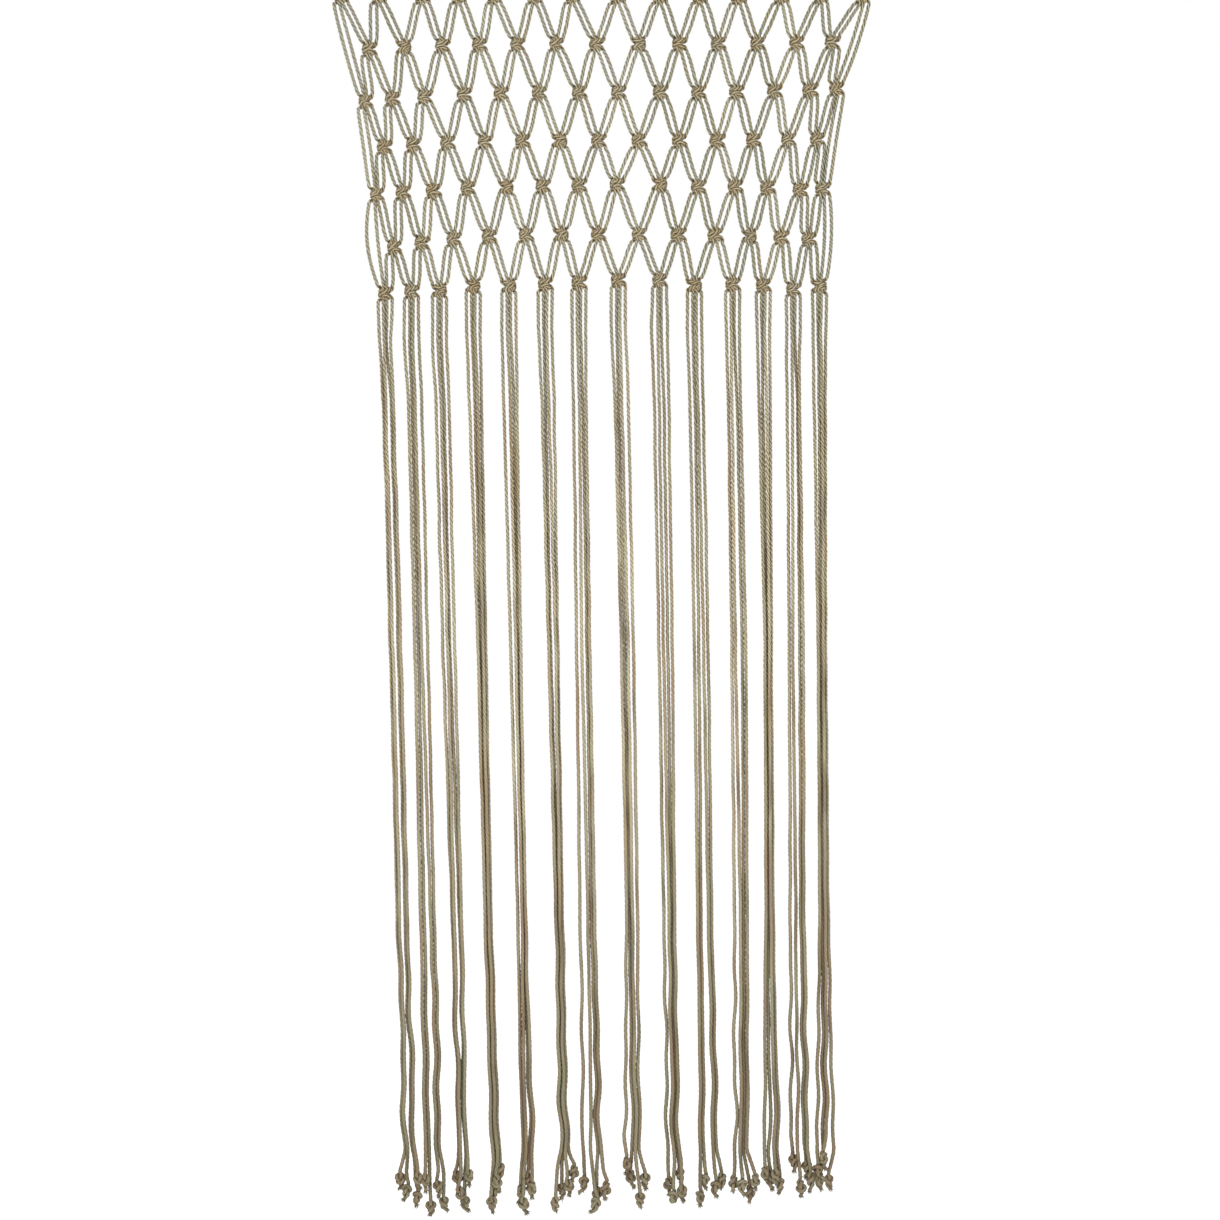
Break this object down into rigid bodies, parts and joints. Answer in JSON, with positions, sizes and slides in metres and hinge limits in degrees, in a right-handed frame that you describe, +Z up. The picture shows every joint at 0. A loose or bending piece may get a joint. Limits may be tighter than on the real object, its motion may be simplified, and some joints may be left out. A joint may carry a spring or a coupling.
{
  "type": "macrame curtain",
  "caption": "Macrame door curtain of twisted jute cord: an open net of square knots under a row of heading loops, with long free-hanging strand groups that end in small knots.",
  "frame": {"origin": "middle of the top edge, on top of the heading loops", "axes": "+Z up, +X to the right of someone who looks at the front, front face towards -Y"},
  "size_m": [0.8572, 0.0356, 2],
  "materials": {
    "knotted_cord": "dry untreated jute, slightly hairy",
    "hanging_cord": "dry untreated jute, slightly hairy"
  },
  "bodies": {
    "root": {"heading": "knotted_cord", "net": "knotted_cord", "fringe": "hanging_cord"}
  },
  "joints": []
}
